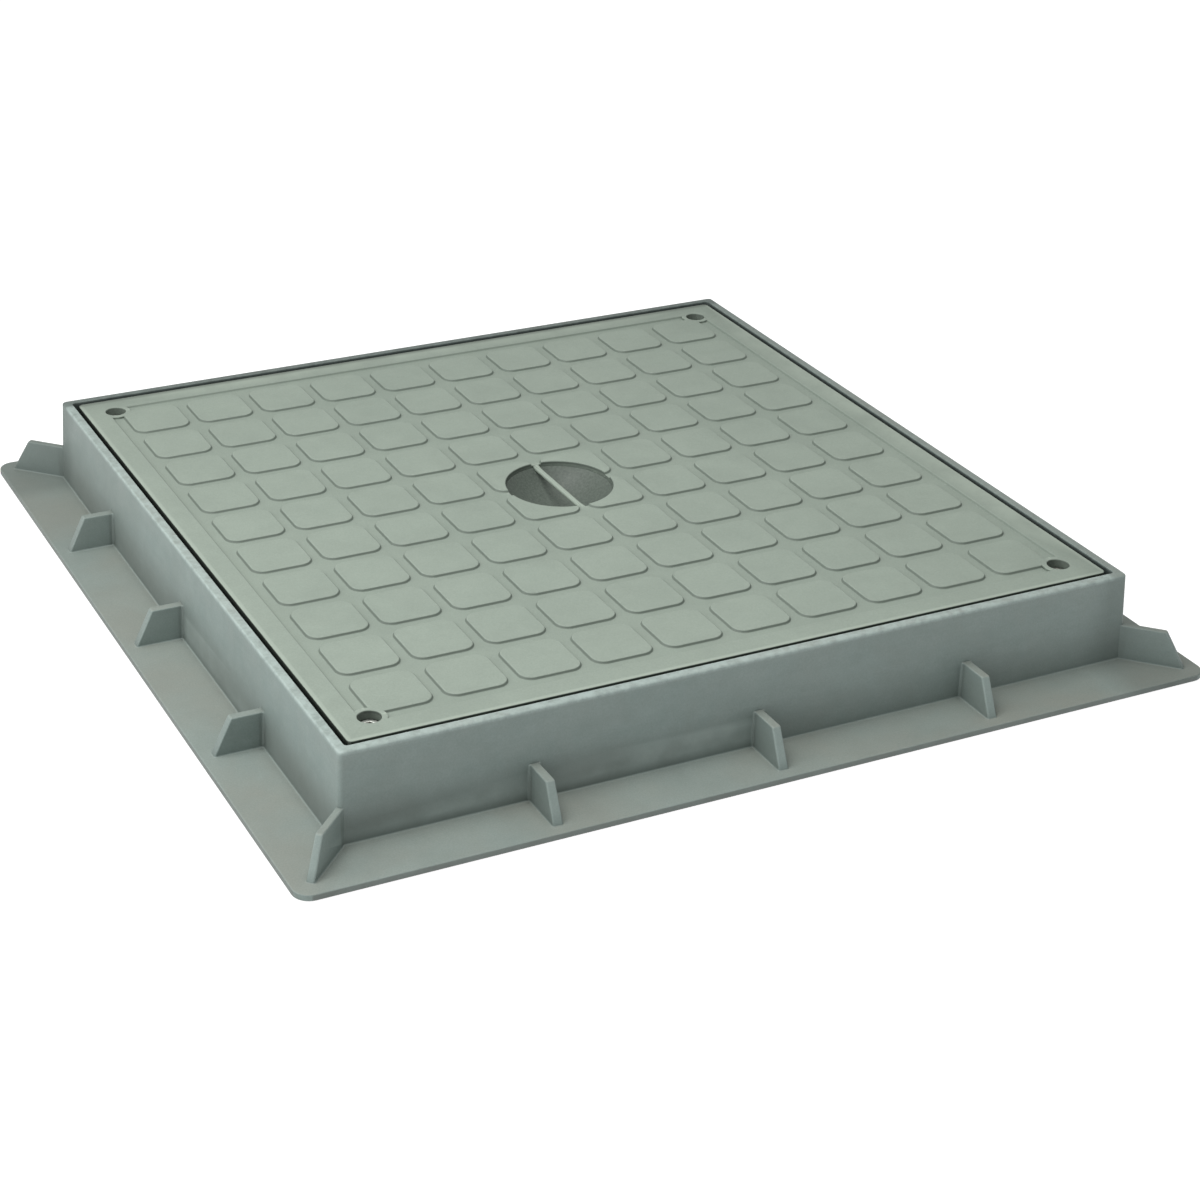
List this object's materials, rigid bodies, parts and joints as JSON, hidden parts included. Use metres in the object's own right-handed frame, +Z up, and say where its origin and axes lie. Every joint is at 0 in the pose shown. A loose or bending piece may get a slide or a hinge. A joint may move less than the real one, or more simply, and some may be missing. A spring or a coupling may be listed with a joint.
{
  "type": "manhole cover",
  "caption": "Square plastic access cover: a flanged, ribbed frame and a drop-in lid with raised square pads, a round finger recess with a lifting bar, and corner screws.",
  "frame": {"origin": "centre of the frame's underside, on the ground plane", "axes": "+Z up, +X and +Y along the two sides, the lifting bar lies along Y"},
  "size_m": [0.462, 0.462, 0.047],
  "materials": {
    "frame_plastic": "satin",
    "lid_plastic": "satin",
    "seal_rubber": "matte",
    "screw_steel": "satin",
    "washer_rubber": "matte",
    "insert_brass": "satin"
  },
  "bodies": {
    "frame": {"frame": "frame_plastic", "lid_seal": "seal_rubber", "insert_front_left": "insert_brass", "insert_front_right": "insert_brass", "insert_back_left": "insert_brass", "insert_back_right": "insert_brass"},
    "lid": {"lid": "lid_plastic"},
    "washer_front_left": {"washer_front_left": "washer_rubber"},
    "screw_front_left": {"screw_front_left": "screw_steel"},
    "washer_front_right": {"washer_front_right": "washer_rubber"},
    "screw_front_right": {"screw_front_right": "screw_steel"},
    "washer_back_left": {"washer_back_left": "washer_rubber"},
    "screw_back_left": {"screw_back_left": "screw_steel"},
    "washer_back_right": {"washer_back_right": "washer_rubber"},
    "screw_back_right": {"screw_back_right": "screw_steel"}
  },
  "joints": [
    {"name": "lid_lift", "type": "slide", "parent": "frame", "child": "lid", "axis": [0, 0, 1], "range_m": [0, 0.15]},
    {"name": "screw_rise_front_left", "type": "slide", "parent": "lid", "child": "washer_front_left", "axis": [0, 0, 1], "range_m": [0, 0.015]},
    {"name": "screw_turn_front_left", "type": "hinge", "parent": "washer_front_left", "child": "screw_front_left", "pos_m": [-0.177, -0.177, 0.0366], "axis": [0, 0, 1], "range_deg": [0, 5400]},
    {"name": "screw_rise_front_right", "type": "slide", "parent": "lid", "child": "washer_front_right", "axis": [0, 0, 1], "range_m": [0, 0.015]},
    {"name": "screw_turn_front_right", "type": "hinge", "parent": "washer_front_right", "child": "screw_front_right", "pos_m": [0.177, -0.177, 0.0366], "axis": [0, 0, 1], "range_deg": [0, 5400]},
    {"name": "screw_rise_back_left", "type": "slide", "parent": "lid", "child": "washer_back_left", "axis": [0, 0, 1], "range_m": [0, 0.015]},
    {"name": "screw_turn_back_left", "type": "hinge", "parent": "washer_back_left", "child": "screw_back_left", "pos_m": [-0.177, 0.177, 0.0366], "axis": [0, 0, 1], "range_deg": [0, 5400]},
    {"name": "screw_rise_back_right", "type": "slide", "parent": "lid", "child": "washer_back_right", "axis": [0, 0, 1], "range_m": [0, 0.015]},
    {"name": "screw_turn_back_right", "type": "hinge", "parent": "washer_back_right", "child": "screw_back_right", "pos_m": [0.177, 0.177, 0.0366], "axis": [0, 0, 1], "range_deg": [0, 5400]}
  ],
  "couplings": [
    {"joint": "screw_turn_front_left", "follows": "screw_rise_front_left", "rad_per_m": 6283.2},
    {"joint": "screw_turn_front_right", "follows": "screw_rise_front_right", "rad_per_m": 6283.2},
    {"joint": "screw_turn_back_left", "follows": "screw_rise_back_left", "rad_per_m": 6283.2},
    {"joint": "screw_turn_back_right", "follows": "screw_rise_back_right", "rad_per_m": 6283.2}
  ]
}
